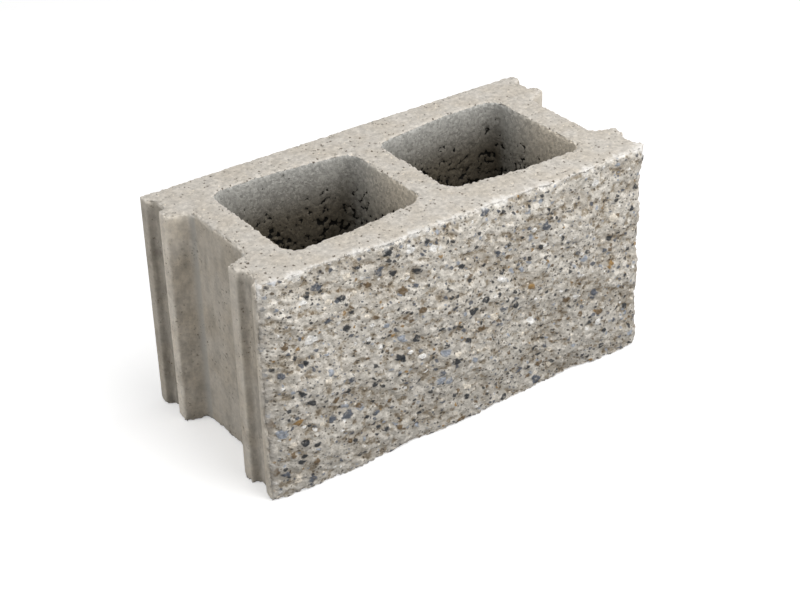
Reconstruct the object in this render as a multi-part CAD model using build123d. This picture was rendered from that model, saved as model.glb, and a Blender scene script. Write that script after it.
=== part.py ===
from build123d import *
import math
import os

# A hollow concrete block with one split face, cast in one piece. Sizes are in millimetres.
# X runs along the block, the flat moulded back faces +Y and the split face -Y.
# The block stands on Z = 0, and its origin is at the bottom centre of its box.

# Overall size: the depth runs from the flat back to the furthest bulge of the split face.
block_length = 390
block_depth = 190
block_height = 200

# Walls: the shells lie along the back and the split face, and the webs run across between them.
# The split line is where the blade breaks the block, and the bulges stand proud of it.
split_bulge = 6
face_shell = 32
centre_web = 28
end_web = 28

# Cores: two through holes that narrow downwards and close in towards the centre web.
core_draft_angle = 1.2
core_neck_length = 76
core_neck_inset = 9
core_end_radius = 13
core_knee_radius = 90
core_web_radius = 14

# Keyed ends: a wide recess between two ears, with a groove for mortar down each ear.
recess_depth = 20
recess_lean = 7
recess_floor_radius = 8
outer_land = 10.5
groove_mouth = 22
groove_floor = 15
groove_depth = 6
groove_floor_radius = 3
inner_land = 11.5
arris_radius = 2.5

# Split face: two trains of waves, each with a height, a wavelength and a heading in degrees from +X.
# Each crest passes through the bottom edge at the X given. Near both ends the break curls back.
swell_height = 1.8
swell_length = 330
swell_heading = -46
swell_crest = -150
roll_height = 1.0
roll_length = 140
roll_heading = 22
roll_crest = 20
curl_depth = 5
curl_reach = 10

# Crags: lumps and hollows on those waves, from trains that get shorter and lower one by one.
# Each train is turned and shifted from the one before.
crag_count = 3
crag_height = 0.8
crag_length = 58
crag_shrink = 0.85
crag_heading = 76
crag_turn = 47
crag_shift = 71

# The break is drawn through points one step apart, and the sheet reaches past the block by the margin.
sheet_margin = 6
sheet_step = 6.5

# Places worked out from the sizes above: the moulded section is symmetrical about its middle line.
end_x = block_length / 2
back_y = block_depth / 2
split_y = -block_depth / 2 + split_bulge
middle_y = (back_y + split_y) / 2
section_depth = back_y - split_y
core_width = section_depth - 2 * face_shell
core_length = end_x - centre_web / 2 - recess_depth - end_web
recess_mouth = section_depth - 2 * (outer_land + groove_mouth + inner_land)
groove_y = section_depth / 2 - outer_land - groove_mouth / 2


def trapezoid(mouth, floor, depth):
    """A key's outline at the +X end, with its wide mouth on the end plane."""
    return Polygon((0, mouth / 2), (-depth, floor / 2), (-depth, -floor / 2), (0, -mouth / 2), align=None)


def rounded(sketch, x, radius):
    """The sketch with every corner that lies at +x or -x rounded."""
    corners = [v for v in sketch.vertices() if math.isclose(abs(v.X), x, abs_tol=0.01)]
    return fillet(corners, radius)


def moulded_section():
    """The block's plan, keyed at both ends, with the front left long for the break."""
    front_y = -block_depth / 2 - sheet_margin
    plan = Pos(0, (back_y + front_y) / 2) * Rectangle(block_length, back_y - front_y)
    recess = Pos(end_x, middle_y) * trapezoid(recess_mouth, recess_mouth - 2 * recess_lean, recess_depth)
    groove = trapezoid(groove_mouth, groove_floor, groove_depth)
    keys = [recess]
    for side in (1, -1):
        keys.append(Pos(end_x, middle_y + side * groove_y) * groove)
    for key in keys:
        plan = plan - key - mirror(key, about=Plane.YZ)
    plan = rounded(plan, end_x - recess_depth, recess_floor_radius)
    plan = rounded(plan, end_x - groove_depth, groove_floor_radius)
    return rounded(plan, end_x, arris_radius)


def core():
    """The hole at +X: straight by the end web, then closing in to the centre web, drafted from the top."""
    web_x = centre_web / 2
    neck_x = web_x + core_neck_length
    far_x = web_x + core_length
    half = core_width / 2
    outline = Polygon(
        (far_x, half),
        (neck_x, half),
        (web_x, half - core_neck_inset),
        (web_x, core_neck_inset - half),
        (neck_x, -half),
        (far_x, -half),
        align=None,
    )
    outline = rounded(outline, far_x, core_end_radius)
    outline = rounded(outline, neck_x, core_knee_radius)
    outline = rounded(outline, web_x, core_web_radius)
    top = Plane.XY.offset(block_height) * Pos(0, middle_y) * outline
    return extrude(top, -block_height, taper=core_draft_angle)


def wave(x, z, height, length, heading, crest):
    """One train of waves over the split face."""
    along = (x - crest) * math.cos(math.radians(heading)) + z * math.sin(math.radians(heading))
    return height * math.cos(2 * math.pi * along / length)


def crags(x, z):
    """The lumps and hollows of the break, from all the short trains together."""
    lump = 0
    for i in range(crag_count):
        shrink = crag_shrink**i
        heading = crag_heading + crag_turn * i
        lump += wave(x, z, crag_height * shrink, crag_length * shrink, heading, crag_shift * i)
    return lump


def proud(x, z):
    """How far the broken face stands forward, before its furthest point is set to the block's depth."""
    swell = wave(x, z, swell_height, swell_length, swell_heading, swell_crest)
    roll = wave(x, z, roll_height, roll_length, roll_heading, roll_crest)
    curl = curl_depth * math.exp((abs(x) - end_x) / curl_reach)
    return swell + roll + crags(x, z) - curl


def steps(low, high):
    """Evenly spaced places from low to high, about one sheet step apart."""
    count = math.ceil((high - low) / sheet_step)
    return [low + (high - low) * i / count for i in range(count + 1)]


def broken_away():
    """The concrete that the blade takes off: all that lies in front of the craggy break."""
    columns = steps(-end_x - sheet_margin, end_x + sheet_margin)
    rows = steps(-sheet_margin, block_height + sheet_margin)
    on_block = [proud(x, z) for x in columns for z in rows if abs(x) <= end_x and 0 <= z <= block_height]
    furthest = max(on_block)
    sheet = Face.make_surface_from_array_of_points(
        [[(x, furthest - block_depth / 2 - proud(x, z), z) for z in rows] for x in columns]
    )
    return extrude(sheet, block_depth / 2, dir=(0, -1, 0))


os.makedirs("parts", exist_ok=True)
block = extrude(moulded_section(), block_height)
hole = core()
block = block - hole - mirror(hole, about=Plane.YZ) - broken_away()
export_step(block, "parts/split_face_block.step")
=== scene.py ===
# %% [markdown]
# A hollow concrete block with one split face, dressed in Blender.
# The block is cast dry and stiff in a steel mould, so its back and ends are smooth and its beds are sandy.
# Two blocks are cast face to face as one, then a blade breaks them apart, and the break lays the gravel bare.
# The CAD block gives every size. This lesson loads it first and never changes it.

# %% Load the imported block
import math

import bmesh
import bpy
import numpy as np
from mathutils import Matrix, Vector, kdtree
from mathutils.bvhtree import BVHTree


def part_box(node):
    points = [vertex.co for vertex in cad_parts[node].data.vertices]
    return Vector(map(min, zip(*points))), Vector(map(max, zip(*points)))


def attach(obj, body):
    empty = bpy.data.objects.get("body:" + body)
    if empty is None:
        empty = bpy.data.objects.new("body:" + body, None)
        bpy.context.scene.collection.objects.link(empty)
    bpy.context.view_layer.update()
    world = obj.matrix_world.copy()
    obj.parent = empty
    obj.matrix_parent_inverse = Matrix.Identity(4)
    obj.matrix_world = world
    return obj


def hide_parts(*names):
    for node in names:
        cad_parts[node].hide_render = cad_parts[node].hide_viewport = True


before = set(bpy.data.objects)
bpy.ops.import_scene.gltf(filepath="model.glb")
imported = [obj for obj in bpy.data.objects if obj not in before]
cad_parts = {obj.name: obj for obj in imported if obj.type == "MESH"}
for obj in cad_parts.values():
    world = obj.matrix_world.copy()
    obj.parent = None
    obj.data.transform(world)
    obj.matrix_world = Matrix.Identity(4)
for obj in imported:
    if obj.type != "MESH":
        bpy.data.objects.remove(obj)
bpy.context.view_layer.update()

MM = 0.001
BLOCK = "split_face_block"
low, high = (Vector(corner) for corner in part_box(BLOCK))
print("block, mm:", [round(side / MM, 1) for side in high - low])

# %% [markdown]
# The camera stands where the photographer stood: in front, to the left of the block, looking down on it.
# Its place, heading and lens were fitted once to the corners of the block, so here they are plain values.
# A long lens keeps the block's edges nearly parallel, and the small roll is how the picture leans.

# %% Stand the camera
EYE = Vector((-731.4, -1039.1, 847.8)) * MM
HEADING, ELEVATION, ROLL = -34.97, 31.32, -1.36
LENS_MM, SENSOR_MM = 77.2, 36.0


def stand_camera():
    data = bpy.data.cameras.new("photographer")
    data.sensor_width = SENSOR_MM
    data.lens = LENS_MM
    camera = bpy.data.objects.new("photographer", data)
    bpy.context.scene.collection.objects.link(camera)
    heading = Matrix.Rotation(math.radians(HEADING), 4, "Z")
    tilt = Matrix.Rotation(math.radians(90 - ELEVATION), 4, "X")
    roll = Matrix.Rotation(math.radians(ROLL), 4, "Z")
    camera.matrix_world = Matrix.Translation(EYE) @ heading @ tilt @ roll
    bpy.context.scene.camera = camera
    return camera


camera = stand_camera()
print("camera, mm:", [round(place / MM) for place in camera.location])

# %% [markdown]
# Relief and finishes are both drawn with nodes, so a few small helpers keep the wiring short.
# The first adds a node and fills its sockets, and the rest are the sums that come up again and again.
# Texture, arithmetic and mixing nodes are the same in geometry trees and in materials,
# so both share the helpers.

# %% Helpers for nodes
def add(tree, kind, inputs=None, **settings):
    """A new node; each input is a plain value or another node's socket."""
    made = tree.nodes.new(kind)
    for name, value in settings.items():
        setattr(made, name, value)
    for name, value in (inputs or {}).items():
        if isinstance(value, bpy.types.NodeSocket):
            tree.links.new(value, made.inputs[name])
        else:
            made.inputs[name].default_value = value
    return made


def calc(tree, operation, first, second=0.0, third=0.0):
    """Arithmetic on sockets or numbers."""
    return add(tree, "ShaderNodeMath", {0: first, 1: second, 2: third}, operation=operation).outputs[0]


def ramp(tree, value, start, end, bottom=0.0, top=1.0):
    """A smooth step from bottom to top while value goes from start to end."""
    limits = {"Value": value, "From Min": start, "From Max": end, "To Min": bottom, "To Max": top}
    return add(tree, "ShaderNodeMapRange", limits, interpolation_type="SMOOTHSTEP").outputs["Result"]


def noise(tree, place, size, detail=2.0, roughness=0.5):
    """Cloudy noise from 0 to 1, with clouds about size metres across."""
    inputs = {"Vector": place, "Scale": 1 / size, "Detail": detail, "Roughness": roughness}
    return add(tree, "ShaderNodeTexNoise", inputs).outputs["Fac"]


def stretched(tree, place, factors, shift=(0, 0, 0)):
    """A place multiplied along each axis, then moved, to flatten, stretch or shift a pattern."""
    inputs = {0: place, 1: factors, 2: shift}
    return add(tree, "ShaderNodeVectorMath", inputs, operation="MULTIPLY_ADD").outputs[0]


def parts(tree, place):
    """The X, Y and Z of a place."""
    return add(tree, "ShaderNodeSeparateXYZ", {0: place}).outputs


# %% [markdown]
# Gravel shows wherever the skin is broken, and holes show wherever the dry mix didn't close up.
# A stone is one cell of a flat Voronoi pattern: a round body, cut off straight where it would meet the next.
# Noise bends its outline, and random numbers for each cell say whether it is a stone,
# how large it is, and of what colour.
# A table of points would give the same look, but cells need no list, and they serve the relief
# and the finish alike, so each stone's colour lies on its own bump.

# %% Stones
def bent(tree, place, size):
    """A place pushed about by noise, so that outlines drawn there are uneven."""
    inputs = {"Vector": place, "Scale": 1.6 / size, "Detail": 2.0, "Roughness": 0.6}
    wobble = add(tree, "ShaderNodeTexNoise", inputs).outputs["Color"]
    push = {0: wobble, 1: (0.6 * size,) * 3, 2: place}
    return add(tree, "ShaderNodeVectorMath", push, operation="MULTIPLY_ADD").outputs[0]


def cells(tree, place, size, feature="F1"):
    """A flat mosaic of cells about size metres across, drawn on X and Y."""
    inputs = {"Vector": place, "Scale": 1 / size}
    return add(tree, "ShaderNodeTexVoronoi", inputs, feature=feature, voronoi_dimensions="2D").outputs


def stones(tree, place, size, share, seed, soft, radii=(0.2, 0.55)):
    """How far inside a stone a point lies, from 0 to 1, and the stone's random number."""
    spot = bent(tree, stretched(tree, place, (1, 1, 1), (seed, 0.37 * seed, 0)), size)
    cell = cells(tree, spot, size)
    joint = cells(tree, spot, size, "DISTANCE_TO_EDGE")["Distance"]
    there, width, pick = parts(tree, cell["Color"])
    smallest, largest = radii
    radius = calc(tree, "MULTIPLY_ADD", calc(tree, "MULTIPLY", width, width), largest - smallest, smallest)
    inside = calc(tree, "MINIMUM", calc(tree, "SUBTRACT", radius, cell["Distance"]), joint)
    there = calc(tree, "LESS_THAN", there, share)
    return calc(tree, "MULTIPLY", ramp(tree, inside, 0.0, soft), there), pick


# %% [markdown]
# On the break, what the blade tore is long and tilted a little,
# so its patterns are drawn on a turned, squeezed plane.
# The broken paste is lumps of noise, and where the break ran deeper, broad bands hold more hollows, with dust
# and painted shade.
# Along both upright edges smooth paste curls round from the mould, and along the top the blade bruised it.

# %% The break
GRAVEL = {
    "large": {"size": 11.5 * MM, "share": 0.32, "seed": 3.1, "soft": 0.14, "radii": (0.22, 0.6)},
    "small": {"size": 5.4 * MM, "share": 0.34, "seed": 7.7, "soft": 0.18, "radii": (0.24, 0.64)},
    "grit": {"size": 3.2 * MM, "share": 0.4, "seed": 9.4, "soft": 0.22, "radii": (0.25, 0.6)},
}
BREAK_TILT = -14
BAND_SIZE = 48 * MM
LUMP_SIZE = 9 * MM
CRUMB_SIZE = 4 * MM


def along_break(tree, place, squeeze=1.3):
    """The plane of the break laid flat, turned and squeezed."""
    for axis, angle in (("Y_AXIS", BREAK_TILT), ("X_AXIS", -90)):
        turn = {"Vector": place, "Angle": math.radians(angle)}
        place = add(tree, "ShaderNodeVectorRotate", turn, rotation_type=axis).outputs[0]
    return stretched(tree, place, (1, squeeze, 0))


def gravel(tree, place, kind):
    return stones(tree, along_break(tree, place), **GRAVEL[kind])


def deep_bands(tree, place):
    """1 where the break ran deeper, and 0 where it ran shallow."""
    return ramp(tree, noise(tree, along_break(tree, place, 2.2), BAND_SIZE, 3.0, 0.55), 0.46, 0.62)


def lumps(tree, place):
    """Broken paste: low on crumbs, and high in hollows."""
    broken = noise(tree, along_break(tree, place), LUMP_SIZE, 5.0, 0.68)
    return calc(tree, "MULTIPLY_ADD", deep_bands(tree, place), 0.07, broken)


def crumbs(tree, place):
    """Small crumbs along an edge that has broken away."""
    return noise(tree, place, CRUMB_SIZE, 4.0, 0.65)


def grains(tree, place, size):
    """Rounded grains packed side by side: 0 at the middle of each, and deeper towards the joints."""
    spot = bent(tree, along_break(tree, place, 1.15), size)
    return cells(tree, spot, size)["Distance"]


PASTE_WANDER = 16 * MM


def edge_paste(tree, place):
    """1 along both upright edges of the break, and 0 from about a centimetre on."""
    along = calc(tree, "ABSOLUTE", parts(tree, place)[0])
    wander = noise(tree, stretched(tree, place, (1, 0, 1)), 12 * MM, 4.0, 0.65)
    reach = calc(tree, "MULTIPLY_ADD", wander, PASTE_WANDER, along)
    return ramp(tree, reach, high.x - 1 * MM, high.x + 6 * MM)


LIP_REACH = 8 * MM


def lip(tree, place, arris):
    """1 where the top edge of the break is bruised, fading out within a few millimetres of the arris."""
    _, across, height = parts(tree, place)
    front = ramp(tree, across, low.y + 22 * MM, low.y + 15 * MM)
    top = ramp(tree, height, high.z - 14 * MM, high.z - 9 * MM)
    patchy = noise(tree, stretched(tree, place, (1, 0, 0)), 22 * MM, 3.0, 0.65)
    reach = ramp(tree, patchy, 0.36, 0.66, 0.0, LIP_REACH)
    ragged = calc(tree, "MULTIPLY_ADD", crumbs(tree, place), 10 * MM, arris)
    near = ramp(tree, calc(tree, "SUBTRACT", ragged, reach), 7 * MM, 1 * MM)
    return calc(tree, "MULTIPLY", near, calc(tree, "MULTIPLY", front, top))


print("gravel, mm:", {kind: round(stone["size"] / MM, 1) for kind, stone in GRAVEL.items()})

# %% [markdown]
# The core walls are honeycombed: gaps stay open between the grains, more and more of them lower down.
# They are drawn as what lies far from every grain, so they are dark corners and cracks, and not round spots.
# The beds have small pits, which come in swarms.

# %% Voids and pits
VOID_SIZE = 4.2 * MM
CLUSTER_SIZE = 11 * MM
PIT_SIZE = 3.4 * MM
SWARM_SIZE = 40 * MM


def voids(tree, place):
    """1 in the gaps of the core walls, and 0 on the wall."""
    inputs = {"Vector": bent(tree, place, VOID_SIZE), "Scale": 1 / VOID_SIZE}
    far = add(tree, "ShaderNodeTexVoronoi", inputs).outputs["Distance"]
    lower_down = ramp(tree, parts(tree, place)[2], 0.97 * high.z, 0.66 * high.z, -0.4, 0.0)
    clusters = noise(tree, place, CLUSTER_SIZE, 3.0)
    level = calc(tree, "MULTIPLY_ADD", clusters, 1.3, calc(tree, "ADD", far, lower_down))
    return ramp(tree, level, 1.28, 1.33)


def bed_pits(tree, place, arris):
    """How far inside a pit a point of a bed lies, from 0 to 1, and the pit's random number."""
    flat = stretched(tree, place, (1, 1, 0))
    share = ramp(tree, noise(tree, flat, SWARM_SIZE), 0.36, 0.66, 0.16, 0.46)
    share = calc(tree, "ADD", share, ramp(tree, arris, 7 * MM, 1 * MM, 0.0, 0.3))
    return stones(tree, flat, PIT_SIZE, share, seed=5.9, soft=0.2, radii=(0.16, 0.5))


print("voids, mm:", round(VOID_SIZE / MM, 1), "pits, mm:", round(PIT_SIZE / MM, 1))

# %% [markdown]
# The block's own mesh starts as a merged copy of the CAD block.
# A voxel remesh gives it an even skin, fine enough to carry chips and stones,
# and softens the arrises as a mould does.

# %% Cast an even skin
VOXEL = 1.2 * MM


def merged_copy(node):
    """A closed bmesh of a CAD node."""
    solid = bmesh.new()
    solid.from_mesh(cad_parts[node].data)
    bmesh.ops.remove_doubles(solid, verts=solid.verts, dist=0.002 * MM)
    return solid


def apply_modifiers(piece):
    """Keeps the piece's mesh as its modifiers leave it, and removes them."""
    shown = piece.evaluated_get(bpy.context.evaluated_depsgraph_get())
    piece.data = bpy.data.meshes.new_from_object(shown)
    piece.modifiers.clear()


def even_skin(solid):
    mesh = bpy.data.meshes.new("concrete_block")
    solid.to_mesh(mesh)
    piece = bpy.data.objects.new("concrete_block", mesh)
    bpy.context.scene.collection.objects.link(piece)
    skin = piece.modifiers.new("even_skin", "REMESH")
    skin.mode = "VOXEL"
    skin.voxel_size = VOXEL
    apply_modifiers(piece)
    return piece


solid = merged_copy(BLOCK)
block = even_skin(solid)
print("even skin:", len(block.data.vertices), "vertices")

# %% [markdown]
# Each face of the block has its own relief and finish, so each vertex learns which face it lies on.
# It also learns how far it is from the nearest arris, because that is where concrete crumbles.
# The nearest point of the CAD block tells both, which the remeshed skin alone can't.

# %% Tell each vertex where it lies
FACES = ("split", "bed", "moulded", "core")
CORE_FROM_X, CORE_TO_X = 12 * MM, 149 * MM
CORE_FROM_Y, CORE_TO_Y = -60 * MM, 66 * MM
SPLIT_FROM_Y = -80 * MM
ARRIS_ANGLE = math.radians(40)
ARRIS_STEP = 0.7 * MM


def face_of(place, normal):
    """Which face of the block a point of the CAD surface belongs to."""
    if abs(normal.z) > 0.9:
        return "bed"
    if CORE_FROM_X < abs(place.x) < CORE_TO_X and CORE_FROM_Y < place.y < CORE_TO_Y:
        return "core"
    if normal.y < -0.4 and place.y < SPLIT_FROM_Y:
        return "split"
    return "moulded"


def arris_points(solid):
    """Points along every sharp edge, ready for looking up the nearest."""
    points = []
    for edge in solid.edges:
        if edge.is_manifold and edge.calc_face_angle() > ARRIS_ANGLE:
            start, end = (vertex.co for vertex in edge.verts)
            count = math.ceil((end - start).length / ARRIS_STEP)
            points += [start.lerp(end, (i + 0.5) / count) for i in range(count)]
    lookup = kdtree.KDTree(len(points))
    for i, point in enumerate(points):
        lookup.insert(point, i)
    lookup.balance()
    return lookup


def mark_faces(piece, solid):
    surface = BVHTree.FromBMesh(solid)
    arrises = arris_points(solid)
    count = len(piece.data.vertices)
    marks = {name: np.zeros(count, np.float32) for name in (*FACES, "arris")}
    for i, vertex in enumerate(piece.data.vertices):
        place, normal, _, _ = surface.find_nearest(vertex.co)
        marks[face_of(place, normal)][i] = 1
        marks["arris"][i] = arrises.find(vertex.co)[2]
    for name, mark in marks.items():
        piece.data.attributes.new(name, "FLOAT", "POINT").data.foreach_set("value", mark)
    return {name: int(marks[name].sum()) for name in FACES}


print("vertices on each face:", mark_faces(block, solid))
solid.free()

# %% [markdown]
# The relief is a tree of geometry nodes that pushes each vertex in along its normal, never out.
# So the block stays inside the size that the CAD gives it.
# The break is rough at every scale, the beds are sandy with pits, the core walls are honeycombed low down,
# and every arris has crumbled a little.

# %% Depth of each face below the CAD surface
SPLIT_LEVEL = 2.7
SANDY_SIZE = 4 * MM


def sandy(tree, place):
    """The grain of a face that wasn't pressed against steel."""
    return noise(tree, place, SANDY_SIZE, 3.0, 0.6)


def split_depth(tree, place):
    """In mm: bands, swells, lumps and grains, less the stones that stand out; calmer at the upright edges."""
    swells = noise(tree, along_break(tree, place), 18 * MM, 2.0)
    patterns = (
        (deep_bands(tree, place), 1.0),
        (swells, 2.0),
        (lumps(tree, place), 2.6),
        (grains(tree, place, 6 * MM), 2.4),
        (gravel(tree, place, "large")[0], -0.9),
        (gravel(tree, place, "small")[0], -0.5),
    )
    depth = 0.0
    for pattern, height in patterns:
        depth = calc(tree, "MULTIPLY_ADD", pattern, height, depth)
    rough = ramp(tree, edge_paste(tree, place), 0.0, 1.0, 1.0, 0.45)
    return calc(tree, "MULTIPLY", calc(tree, "SUBTRACT", depth, SPLIT_LEVEL), rough)


def bed_depth(tree, place, arris):
    """In mm: pits and sand."""
    sand_depth = calc(tree, "MULTIPLY", sandy(tree, place), 0.5)
    return calc(tree, "MULTIPLY_ADD", bed_pits(tree, place, arris)[0], 1.4, sand_depth)


def moulded_depth(tree, place):
    """In mm: the faint waviness of a face against steel."""
    return calc(tree, "MULTIPLY", noise(tree, place, 14 * MM, 3.0), 0.35)


def core_depth(tree, place):
    """In mm: voids and coarse sand."""
    sand_depth = calc(tree, "MULTIPLY", sandy(tree, place), 0.8)
    return calc(tree, "MULTIPLY_ADD", voids(tree, place), 1.2, sand_depth)


CHIP_DEPTH, CHIP_REACH = 2.8, 3.2 * MM
NOTCH_DEPTH, NOTCH_REACH = 2.0, 5.5 * MM
BRUISE_DEPTH = 1.4


def crumble_depth(tree, place, arris):
    """In mm: chips along every arris, notches here and there, more at the keyed ends, and the bruised lip."""
    chips = ramp(tree, crumbs(tree, place), 0.42, 0.64, 0.1, CHIP_DEPTH)
    depth = calc(tree, "MULTIPLY", chips, ramp(tree, arris, CHIP_REACH, 0.0))
    notches = ramp(tree, noise(tree, place, 10 * MM, 3.0, 0.6), 0.52, 0.68, 0.0, NOTCH_DEPTH)
    depth = calc(tree, "MULTIPLY_ADD", notches, ramp(tree, arris, NOTCH_REACH, 0.0), depth)
    along, across, _ = parts(tree, place)
    keyed = ramp(tree, calc(tree, "ABSOLUTE", along), 160 * MM, 175 * MM, 1.0, 1.6)
    sound = ramp(tree, across, high.y - 14 * MM, high.y - 6 * MM, 1.0, 0.3)
    depth = calc(tree, "MULTIPLY", depth, calc(tree, "MULTIPLY", keyed, sound))
    return calc(tree, "MULTIPLY_ADD", lip(tree, place, arris), BRUISE_DEPTH, depth)


# %% [markdown]
# Near the arrises the marks of the faces are blurred a little, so that one relief runs into the next.
# A Displace modifier could push the skin in, but with nodes the stones' pattern serves their colours too.

# %% Push the skin in
def named(tree, name):
    return add(tree, "GeometryNodeInputNamedAttribute", {"Name": name}, data_type="FLOAT").outputs[0]


def relief_tree():
    tree = bpy.data.node_groups.new("relief", "GeometryNodeTree")
    tree.interface.new_socket("Geometry", in_out="INPUT", socket_type="NodeSocketGeometry")
    tree.interface.new_socket("Geometry", in_out="OUTPUT", socket_type="NodeSocketGeometry")
    start = add(tree, "NodeGroupInput").outputs[0]
    place = add(tree, "GeometryNodeInputPosition").outputs[0]
    arris = named(tree, "arris")
    depths = {
        "split": split_depth(tree, place),
        "bed": bed_depth(tree, place, arris),
        "moulded": moulded_depth(tree, place),
        "core": core_depth(tree, place),
    }
    total = crumble_depth(tree, place, arris)
    for name, depth in depths.items():
        blur = {"Value": named(tree, name), "Iterations": 2}
        weight = add(tree, "GeometryNodeBlurAttribute", blur, data_type="FLOAT").outputs[0]
        total = calc(tree, "MULTIPLY_ADD", depth, weight, total)
    total = calc(tree, "MAXIMUM", total, 0.0)
    normal = add(tree, "GeometryNodeInputNormal").outputs[0]
    inward = {0: normal, "Scale": calc(tree, "MULTIPLY", total, -MM)}
    push = add(tree, "ShaderNodeVectorMath", inward, operation="SCALE").outputs[0]
    moved = add(tree, "GeometryNodeSetPosition", {"Geometry": start, "Offset": push}).outputs[0]
    store = {"Geometry": moved, "Name": "hollow", "Value": total}
    kept = add(tree, "GeometryNodeStoreNamedAttribute", store, data_type="FLOAT", domain="POINT").outputs[0]
    add(tree, "NodeGroupOutput", {0: kept})
    return tree


def values(mesh, name):
    """An attribute of every vertex."""
    found = np.zeros(len(mesh.vertices), np.float32)
    mesh.attributes[name].data.foreach_get("value", found)
    return found


block.modifiers.new("relief", "NODES").node_group = relief_tree()
apply_modifiers(block)
for face in FACES:
    depth = values(block.data, "hollow")[values(block.data, face) > 0.5]
    print(face, "relief, mm: mean", depth.mean().round(2), "most", depth.max().round(2))

# %% [markdown]
# The even skin has far more triangles than the smooth faces need.
# A collapse keeps them where the surface turns quickly, on stones, chips and pits, and thins out the rest.
# The remesh may overshoot the CAD box by a hair, so the last vertices are set back onto it.

# %% Thin out the flat skin
TRIANGLES = 196000


def triangle_count(mesh):
    return sum(len(face.vertices) - 2 for face in mesh.polygons)


def thin_out(piece):
    thin = piece.modifiers.new("thin_out", "DECIMATE")
    thin.ratio = TRIANGLES / triangle_count(piece.data)
    thin.use_collapse_triangulate = True
    apply_modifiers(piece)
    piece.data.polygons.foreach_set("use_smooth", np.ones(len(piece.data.polygons), bool))


def keep_in_box(mesh):
    places = np.zeros(3 * len(mesh.vertices), np.float32)
    mesh.vertices.foreach_get("co", places)
    places = places.reshape(-1, 3).clip(low, high)
    mesh.vertices.foreach_set("co", places.ravel())
    mesh.update()


print("before:", triangle_count(block.data), "triangles")
thin_out(block)
keep_in_box(block.data)
print("after:", triangle_count(block.data), "triangles")

# %% [markdown]
# Colours are written as they look on a screen, 0 to 255, and turned into the linear light that nodes work in.
# A palette gives each stone one of several colours by its random number, as gravel comes mixed.

# %% Colours
def colour(red, green, blue):
    """A screen colour as linear light, with its alpha."""
    return (*(((part / 255 + 0.055) / 1.055) ** 2.4 for part in (red, green, blue)), 1.0)


def tint(tree, factor, under, over, mode="MIX"):
    """One colour laid over another."""
    made = add(tree, "ShaderNodeMix", {0: factor, 6: under, 7: over}, data_type="RGBA", blend_type=mode)
    return made.outputs[2]


def shaded(tree, under, level):
    """A colour made darker or lighter."""
    return tint(tree, 1.0, under, level, "MULTIPLY")


def palette(tree, pick, shares):
    """One of several colours by a random number; each colour comes with its share of the whole."""
    made = add(tree, "ShaderNodeValToRGB", {"Fac": pick})
    made.color_ramp.interpolation = "CONSTANT"
    marks = made.color_ramp.elements
    start = 0.0
    for i, (share, hue) in enumerate(shares):
        mark = marks[i] if i < 2 else marks.new(start)
        mark.position = start
        mark.color = hue
        start += share
    return made.outputs["Color"]


print("mid grey in linear light:", round(colour(128, 128, 128)[0], 3))

# %% [markdown]
# Every finish starts from the same cement paste: a warm pale grey, clouded, with a fine sandy grain.
# Voronoi cells make the sand, because each cell has one tone, as a grain has. Noise alone looks like fog.

# %% Cement paste
PASTE = colour(207, 201, 192)
PASTE_WARM = colour(203, 195, 183)
PASTE_COOL = colour(193, 192, 187)


def sand(tree, place, size, low_level, high_level):
    """Sand grains, each a little darker or lighter than the next."""
    tones = add(tree, "ShaderNodeTexVoronoi", {"Vector": place, "Scale": 1 / size}).outputs["Color"]
    return calc(tree, "MULTIPLY_ADD", parts(tree, tones)[0], high_level - low_level, low_level)


def paste(tree, place, low_level, high_level):
    """The skin of the paste; the levels say how dark and how light its grain goes."""
    clouds = ramp(tree, noise(tree, place, 26 * MM, 3.0), 0.35, 0.65)
    skin = tint(tree, clouds, PASTE, PASTE_WARM)
    skin = shaded(tree, skin, sand(tree, place, 1.9 * MM, low_level, high_level))
    return shaded(tree, skin, ramp(tree, sandy(tree, place), 0.3, 0.7, low_level, high_level))


print("paste, linear light:", [round(part, 2) for part in PASTE[:3]])

# %% [markdown]
# All four finishes are dry and matt, so they share one plain shader and differ only in colour and fine bump.
# Bump is kept for grain that the mesh is too coarse for. Everything larger is real relief.

# %% A matt finish
def finish(name):
    """A new matt material, with its tree, its shader and the Object coordinates to draw on."""
    material = bpy.data.materials.new(name)
    material.use_nodes = True
    tree = material.node_tree
    tree.nodes.clear()
    shader = add(tree, "ShaderNodeBsdfPrincipled", {"Roughness": 0.9, "Specular IOR Level": 0.2})
    add(tree, "ShaderNodeOutputMaterial", {"Surface": shader.outputs[0]})
    place = add(tree, "ShaderNodeTexCoord").outputs["Object"]
    return material, tree, shader, place


def attribute(tree, name):
    return add(tree, "ShaderNodeAttribute", attribute_name=name).outputs["Fac"]


def roughen(tree, shader, height, depth):
    """Fine grain that the mesh is too coarse for, depth metres high."""
    bump = add(tree, "ShaderNodeBump", {"Height": height, "Distance": depth, "Strength": 1.0})
    tree.links.new(bump.outputs[0], shader.inputs["Normal"])


# %% [markdown]
# The split face shows what the concrete is made of.
# Its stones are river gravel: charcoal, slate, blue grey and brown, a few cream or white ones,
# and ochre now and then. Paste still clings to many of them.
# The hollows keep brown dust with painted shade, and the bruised lip along the top is nearly white.
# Each layer of stones is laid over the paste with the pattern that already raised it in the mesh.

# %% Split face
CHARCOAL = colour(54, 57, 61)
SLATE = colour(94, 99, 108)
BLUE_GREY = colour(158, 164, 174)
GREY = colour(134, 131, 125)
BROWN = colour(116, 98, 75)
OCHRE = colour(158, 126, 80)
CREAM = colour(240, 230, 214)
WHITE = colour(252, 250, 246)
CRUMB = colour(198, 192, 182)
CRUMB_PALE = colour(232, 226, 216)
DUST_AND_SHADE = colour(150, 136, 115)
EARTH = colour(100, 87, 69)
PORE_SHADE = colour(62, 56, 48)

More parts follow.
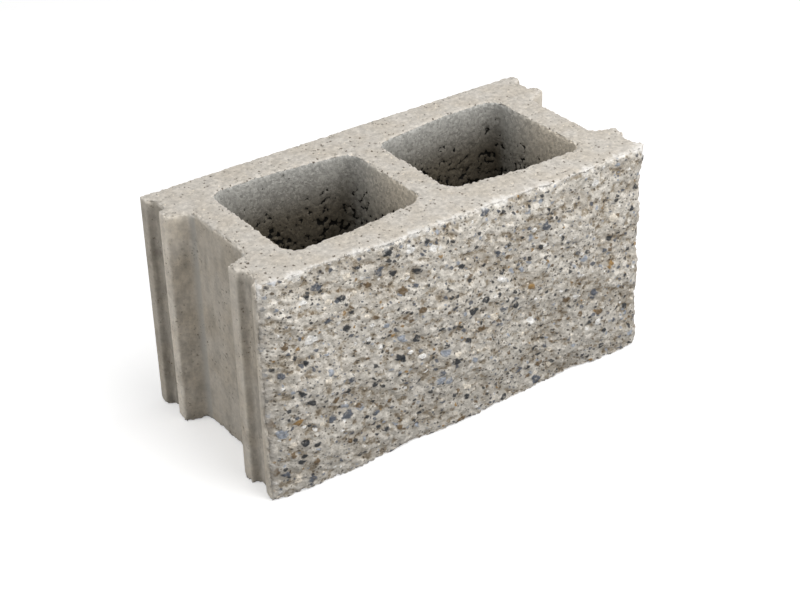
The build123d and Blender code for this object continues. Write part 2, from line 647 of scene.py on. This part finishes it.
STONE_HUES = (
    (0.33, CHARCOAL),
    (0.2, SLATE),
    (0.16, BLUE_GREY),
    (0.11, BROWN),
    (0.03, OCHRE),
    (0.1, CREAM),
    (0.07, WHITE),
)
# The pores among the grit are painted shade: dark dots with no hollow under them.
GRIT_HUES = ((0.38, PORE_SHADE), (0.24, EARTH), (0.18, SLATE), (0.12, GREY), (0.08, CREAM))
LAYERS = (("grit", GRIT_HUES, 0.85), ("small", STONE_HUES, 0.9), ("large", STONE_HUES, 0.95))
CRUMB_SIZES = ((4.2 * MM, 0.36), (2.2 * MM, 0.16))


def broken_paste(tree, place):
    """Pale crumbs of paste, with dust and painted shade in the hollows and in the deep bands."""
    broken = along_break(tree, place)
    clouds = ramp(tree, noise(tree, broken, 7 * MM, 4.0, 0.65), 0.36, 0.64)
    skin = tint(tree, clouds, CRUMB, CRUMB_PALE)
    for size, contrast in CRUMB_SIZES:
        pick = parts(tree, cells(tree, broken, size)["Color"])[0]
        skin = shaded(tree, skin, calc(tree, "MULTIPLY_ADD", pick, contrast, 1 - 0.55 * contrast))
    level = lumps(tree, place)
    # Dust and painted shade: the deep bands and the hollows are painted brown, and the deepest hollows dark.
    dusty_shade = calc(tree, "MULTIPLY", deep_bands(tree, place), 0.34)
    hollow = calc(tree, "MULTIPLY", ramp(tree, level, 0.52, 0.63), 0.8)
    skin = tint(tree, calc(tree, "MAXIMUM", dusty_shade, hollow), skin, DUST_AND_SHADE)
    return tint(tree, calc(tree, "MULTIPLY", ramp(tree, level, 0.62, 0.72), 0.75), skin, EARTH)


def split_finish():
    material, tree, shader, place = finish("split_face")
    broken = along_break(tree, place)
    along, _, height = parts(tree, place)
    # Painted shade and painted light: the break is painted darker towards the bottom and lighter towards the
    # top.
    skin = shaded(tree, broken_paste(tree, place), ramp(tree, height, low.z, high.z, 0.88, 1.12))
    mottle = ramp(tree, noise(tree, broken, 3 * MM, 2.0, 0.6), 0.3, 0.7, 0.7, 1.35)
    film = noise(tree, stretched(tree, broken, (1, 1, 1), (5, 5, 5)), 5 * MM, 3.0, 0.6)
    for kind, hues, strength in LAYERS:
        body, pick = gravel(tree, place, kind)
        bare = ramp(tree, film, 0.52, 0.68, strength, 0.4 * strength)
        stone = shaded(tree, palette(tree, pick, hues), mottle)
        skin = tint(tree, calc(tree, "MULTIPLY", body, bare), skin, stone)
    cover = ramp(tree, along, low.x, high.x, 0.55, 0.25)
    smooth = calc(tree, "MULTIPLY", edge_paste(tree, place), cover)
    skin = tint(tree, smooth, skin, PASTE)
    bruised = calc(tree, "MULTIPLY", lip(tree, place, attribute(tree, "arris")), 0.7)
    skin = tint(tree, bruised, skin, WHITE)
    tree.links.new(skin, shader.inputs["Base Color"])
    fine = calc(tree, "SUBTRACT", noise(tree, broken, 2.5 * MM, 3.0, 0.65), grains(tree, place, 2.6 * MM))
    roughen(tree, shader, fine, 0.4 * MM)
    return material


split_face = split_finish()
print("split face:", len(split_face.node_tree.nodes), "nodes")

# %% [markdown]
# The beds are struck off level and stay sandy: a warm pale grey, mottled, with swarms of small dark pits.
# Their rims have crumbled and look paler, with more pits.
# The bruise of the split face's lip runs a few millimetres over the edge onto the bed.
# The pits could be dots of noise, but cells keep each one whole, and its colour lies in its own hollow.

# %% Beds
PIT_HUES = ((0.62, colour(88, 78, 65)), (0.14, GREY), (0.24, CREAM))


def bed_finish():
    material, tree, shader, place = finish("bed")
    flat = stretched(tree, place, (1, 1, 0))
    arris = attribute(tree, "arris")
    skin = paste(tree, flat, 0.91, 1.07)
    patches = ramp(tree, noise(tree, flat, 6 * MM, 4.0, 0.65), 0.3, 0.7, 0.87, 1.12)
    skin = shaded(tree, skin, patches)
    ragged = calc(tree, "MULTIPLY_ADD", crumbs(tree, place), 8 * MM, arris)
    skin = tint(tree, ramp(tree, ragged, 8 * MM, 4 * MM, 0.0, 0.6), skin, CRUMB_PALE)
    pit, pick = bed_pits(tree, place, arris)
    skin = tint(tree, calc(tree, "MULTIPLY", pit, 0.9), skin, palette(tree, pick, PIT_HUES))
    bruised = calc(tree, "MULTIPLY", lip(tree, place, arris), 0.55)
    skin = tint(tree, bruised, skin, WHITE)
    tree.links.new(skin, shader.inputs["Base Color"])
    roughen(tree, shader, noise(tree, flat, 2 * MM, 3.0, 0.7), 0.6 * MM)
    return material


bed = bed_finish()
print("bed:", len(bed.node_tree.nodes), "nodes")

# %% [markdown]
# The ends and the back slid out of the mould, so they are smooth, with faint streaks down them.
# The grooves are painted darker with painted shade, and the lands beside them, the fillets and the flanks are
# painted lighter with painted light.
# Painting these bands by hand would work, but they follow the section,
# so they are drawn by the distance from its middle line.

# %% Moulded faces
SECTION_MIDDLE = 3 * MM
FILLET_FROM = 36 * MM
FLANK_FROM, FLANK_TO = 41 * MM, 48 * MM
GROOVE_FROM, GROOVE_TO = 60 * MM, 81 * MM
BAND_SOFT = 2 * MM
STAIN = colour(252, 250, 246)


def between(tree, value, start, end):
    """1 from start to end, 0 outside, with soft limits."""
    rise = ramp(tree, value, start - BAND_SOFT, start + BAND_SOFT)
    return calc(tree, "MULTIPLY", rise, ramp(tree, value, end + BAND_SOFT, end - BAND_SOFT))


def mould_marks(tree, place, skin):
    """Streaks down the face, scuffs, and swarms of small dark spots."""
    streaks = noise(tree, stretched(tree, place, (1, 1, 0.06)), 5 * MM, 3.0, 0.6)
    skin = shaded(tree, skin, ramp(tree, streaks, 0.3, 0.7, 0.96, 1.03))
    scuffs = noise(tree, stretched(tree, place, (1, 1, 0.7)), 16 * MM, 4.0, 0.65)
    skin = shaded(tree, skin, ramp(tree, scuffs, 0.42, 0.72, 1.04, 0.78))
    swarms = ramp(tree, noise(tree, place, 28 * MM), 0.4, 0.65, 0.0, 0.75)
    spots = ramp(tree, noise(tree, place, 3 * MM, 2.0, 0.6), 0.61, 0.68)
    return tint(tree, calc(tree, "MULTIPLY", spots, swarms), skin, EARTH)


def keyed_shade(tree, place, skin):
    """Painted light on the front ears, fillets, lands and mottled flanks, and painted shade in the grooves.
    """
    across = parts(tree, place)[1]
    # Painted light: the front ears are painted lighter than the rest of the end.
    skin = shaded(tree, skin, ramp(tree, across, -75 * MM, -45 * MM, 1.28, 1.01))
    aside = calc(tree, "ABSOLUTE", calc(tree, "SUBTRACT", across, SECTION_MIDDLE))
    # Painted highlight: a cool pale band down each fillet.
    fillet_highlight = between(tree, aside, FILLET_FROM, FLANK_FROM)
    skin = tint(tree, calc(tree, "MULTIPLY", fillet_highlight, 0.55), skin, PASTE_COOL)
    # Painted light: the lands beside the grooves are painted paler, the rear ones most.
    painted_light_lands = between(tree, aside, FLANK_TO, GROOVE_FROM)
    pale = ramp(tree, across, 0.0, 40 * MM, 1.18, 1.48)
    skin = shaded(tree, skin, ramp(tree, painted_light_lands, 0.0, 1.0, 1.0, pale))
    flank = between(tree, aside, FLANK_FROM, FLANK_TO)
    groove = between(tree, aside, GROOVE_FROM, GROOVE_TO)
    blotches = noise(tree, stretched(tree, place, (1, 1, 0.5)), 8 * MM, 4.0, 0.65)
    # Painted light: the flanks of the ears are painted lighter, mottled by the blotches.
    flank_painted_light = ramp(tree, blotches, 0.35, 0.65, 1.24, 0.96)
    skin = shaded(tree, skin, ramp(tree, flank, 0.0, 1.0, 1.0, flank_painted_light))
    # Painted shade: the grooves are painted darker, mottled, and the rear one darkest.
    groove_painted_shade = ramp(tree, across, 0.0, 40 * MM, 0.78, 0.71)
    groove_painted_shade = calc(tree, "MULTIPLY", groove_painted_shade, ramp(tree, blotches, 0.35, 0.65, 1.14, 0.86))
    return shaded(tree, skin, ramp(tree, groove, 0.0, 1.0, 1.0, groove_painted_shade))


def moulded_finish():
    material, tree, shader, place = finish("moulded")
    skin = shaded(tree, paste(tree, place, 0.95, 1.05), STAIN)
    skin = keyed_shade(tree, place, mould_marks(tree, place, skin))
    worn = calc(tree, "MULTIPLY", ramp(tree, attribute(tree, "arris"), 4 * MM, 0.5 * MM), 0.45)
    skin = tint(tree, worn, skin, CRUMB_PALE)
    tree.links.new(skin, shader.inputs["Base Color"])
    roughen(tree, shader, noise(tree, place, 1.6 * MM, 3.0, 0.7), 0.3 * MM)
    return material


moulded = moulded_finish()
print("moulded faces:", len(moulded.node_tree.nodes), "nodes")

# %% [markdown]
# Steel formers leave a thin skin on the core walls: warm at the front, painted pale as painted light, and a
# cool grey at the rear.
# Lower down the mix is starved and honeycombed. Painted shade makes the walls brown and dark there, most of
# all on the rear wall, and paints the gaps near black.
# A darker colour by height does this, and light adds the rest, since little of it reaches the bottom.

# %% Core walls
VOID_SHADE = colour(22, 21, 18)
CORE_WARM_PAINTED_LIGHT = colour(228, 218, 201)
CORE_PAINTED_SHADE = colour(102, 95, 82)


def core_finish():
    material, tree, shader, place = finish("core_wall")
    _, across, height = parts(tree, place)
    # Painted light: a pale warm colour brightens the walls towards the front, which get too little light.
    skin = tint(tree, ramp(tree, across, -20 * MM, 55 * MM), CORE_WARM_PAINTED_LIGHT, PASTE_COOL)
    # Painted shade: the walls are painted brown and dark lower down, most of all on the rear wall.
    rear = ramp(tree, across, 42 * MM, 57 * MM, 0.5, 1.0)
    lower_down = calc(tree, "MULTIPLY", rear, ramp(tree, height, 1.06 * high.z, 0.73 * high.z))
    skin = tint(tree, lower_down, skin, CORE_PAINTED_SHADE)
    skin = shaded(tree, skin, sand(tree, place, 2.4 * MM, 0.74, 1.18))
    # Painted shade: the gaps are painted near black, as deep holes look.
    skin = tint(tree, voids(tree, place), skin, VOID_SHADE)
    tree.links.new(skin, shader.inputs["Base Color"])
    roughen(tree, shader, noise(tree, place, 2.6 * MM, 3.0, 0.7), 1.4 * MM)
    return material


core_wall = core_finish()
print("core walls:", len(core_wall.node_tree.nodes), "nodes")

# %% [markdown]
# The block is one piece with four finishes, so each triangle gets the finish of the face it lies on.
# The marks made earlier tell the faces apart. Triangles picked by hand would have to be picked again
# after each change.

# %% Lay the finishes on
def lay_finishes(piece, materials):
    """Each triangle takes the finish of the face that most of its corners lie on."""
    mesh = piece.data
    mesh.materials.clear()
    for material in materials:
        mesh.materials.append(material)
    corners = np.zeros(3 * len(mesh.polygons), np.int32)
    mesh.polygons.foreach_get("vertices", corners)
    share = np.stack([values(mesh, name)[corners].reshape(-1, 3).sum(1) for name in FACES])
    chosen = share.argmax(0).astype(np.int32)
    mesh.polygons.foreach_set("material_index", chosen)
    return {name: int((chosen == i).sum()) for i, name in enumerate(FACES)}


print("triangles on each face:", lay_finishes(block, (split_face, bed, moulded, core_wall)))

# %% [markdown]
# The block stands on a pale floor.
# A soft box hangs over it to the right, a broad main light stands in front, and a weak one behind it
# on the left, so the left end lies in the shade, and its flanks and grooves in deeper shade.
# The floor and the room look white, but they light the block at a plain level.

# %% Light the block
FLOOR_GREY = (0.2, 0.2, 0.2, 1.0)
FLOOR_WHITE = (0.95, 0.95, 0.95, 1.0)
FLOOR_GLOW = 0.4
ROOM_LIGHT = 0.36


def seen_directly(tree):
    """1 where a surface is seen, also in a mirror or through glass, and 0 where it only gives light."""
    rays = add(tree, "ShaderNodeLightPath").outputs
    seen = calc(tree, "MAXIMUM", rays["Is Camera Ray"], rays["Is Glossy Ray"])
    return calc(tree, "MAXIMUM", seen, rays["Is Transmission Ray"])


def place_floor():
    ground = bmesh.new()
    bmesh.ops.create_grid(ground, x_segments=1, y_segments=1, size=4.0)
    mesh = bpy.data.meshes.new("floor")
    ground.to_mesh(mesh)
    ground.free()
    floor = bpy.data.objects.new("floor", mesh)
    bpy.context.scene.collection.objects.link(floor)
    material = bpy.data.materials.new("pale_floor")
    material.use_nodes = True
    tree = material.node_tree
    tree.nodes.clear()
    seen = seen_directly(tree)
    matt = add(tree, "ShaderNodeBsdfDiffuse", {"Color": tint(tree, seen, FLOOR_GREY, FLOOR_WHITE)})
    glow = add(tree, "ShaderNodeEmission", {"Strength": calc(tree, "MULTIPLY", seen, FLOOR_GLOW)})
    both = add(tree, "ShaderNodeAddShader", {0: matt.outputs[0], 1: glow.outputs[0]})
    add(tree, "ShaderNodeOutputMaterial", {"Surface": both.outputs[0]})
    mesh.materials.append(material)


def light_room():
    room = bpy.data.worlds.new("pale_room")
    room.use_nodes = True
    tree = room.node_tree
    tree.nodes.clear()
    strength = calc(tree, "MULTIPLY_ADD", seen_directly(tree), 1 - ROOM_LIGHT, ROOM_LIGHT)
    light = add(tree, "ShaderNodeBackground", {"Color": (1, 1, 1, 1), "Strength": strength})
    add(tree, "ShaderNodeOutputWorld", {"Surface": light.outputs[0]})
    bpy.context.scene.world = room


def hang_lamp(name, place, width, power):
    """A round soft box that faces the middle of the block."""
    data = bpy.data.lights.new(name, "AREA")
    data.shape = "DISK"
    data.size = width
    data.energy = power
    lamp = bpy.data.objects.new(name, data)
    lamp.location = place
    lamp.rotation_euler = ((low + high) / 2 - lamp.location).to_track_quat("-Z", "Y").to_euler()
    bpy.context.scene.collection.objects.link(lamp)
    print(name, "watts:", power)


place_floor()
light_room()
hang_lamp("soft_box", Vector((0.4, -0.35, 1.45)), width=1.2, power=11)
hang_lamp("main_light", Vector((0.35, -1.7, 0.85)), width=1.4, power=15.4)
hang_lamp("rear_light", Vector((-1.5, 0.45, 0.7)), width=0.9, power=5.8)
bpy.context.scene.view_settings.view_transform = "Standard"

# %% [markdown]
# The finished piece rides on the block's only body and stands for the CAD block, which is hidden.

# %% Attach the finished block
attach(block, "root")
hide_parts(BLOCK)
print("handed in:", block.name, "with", triangle_count(block.data), "triangles")
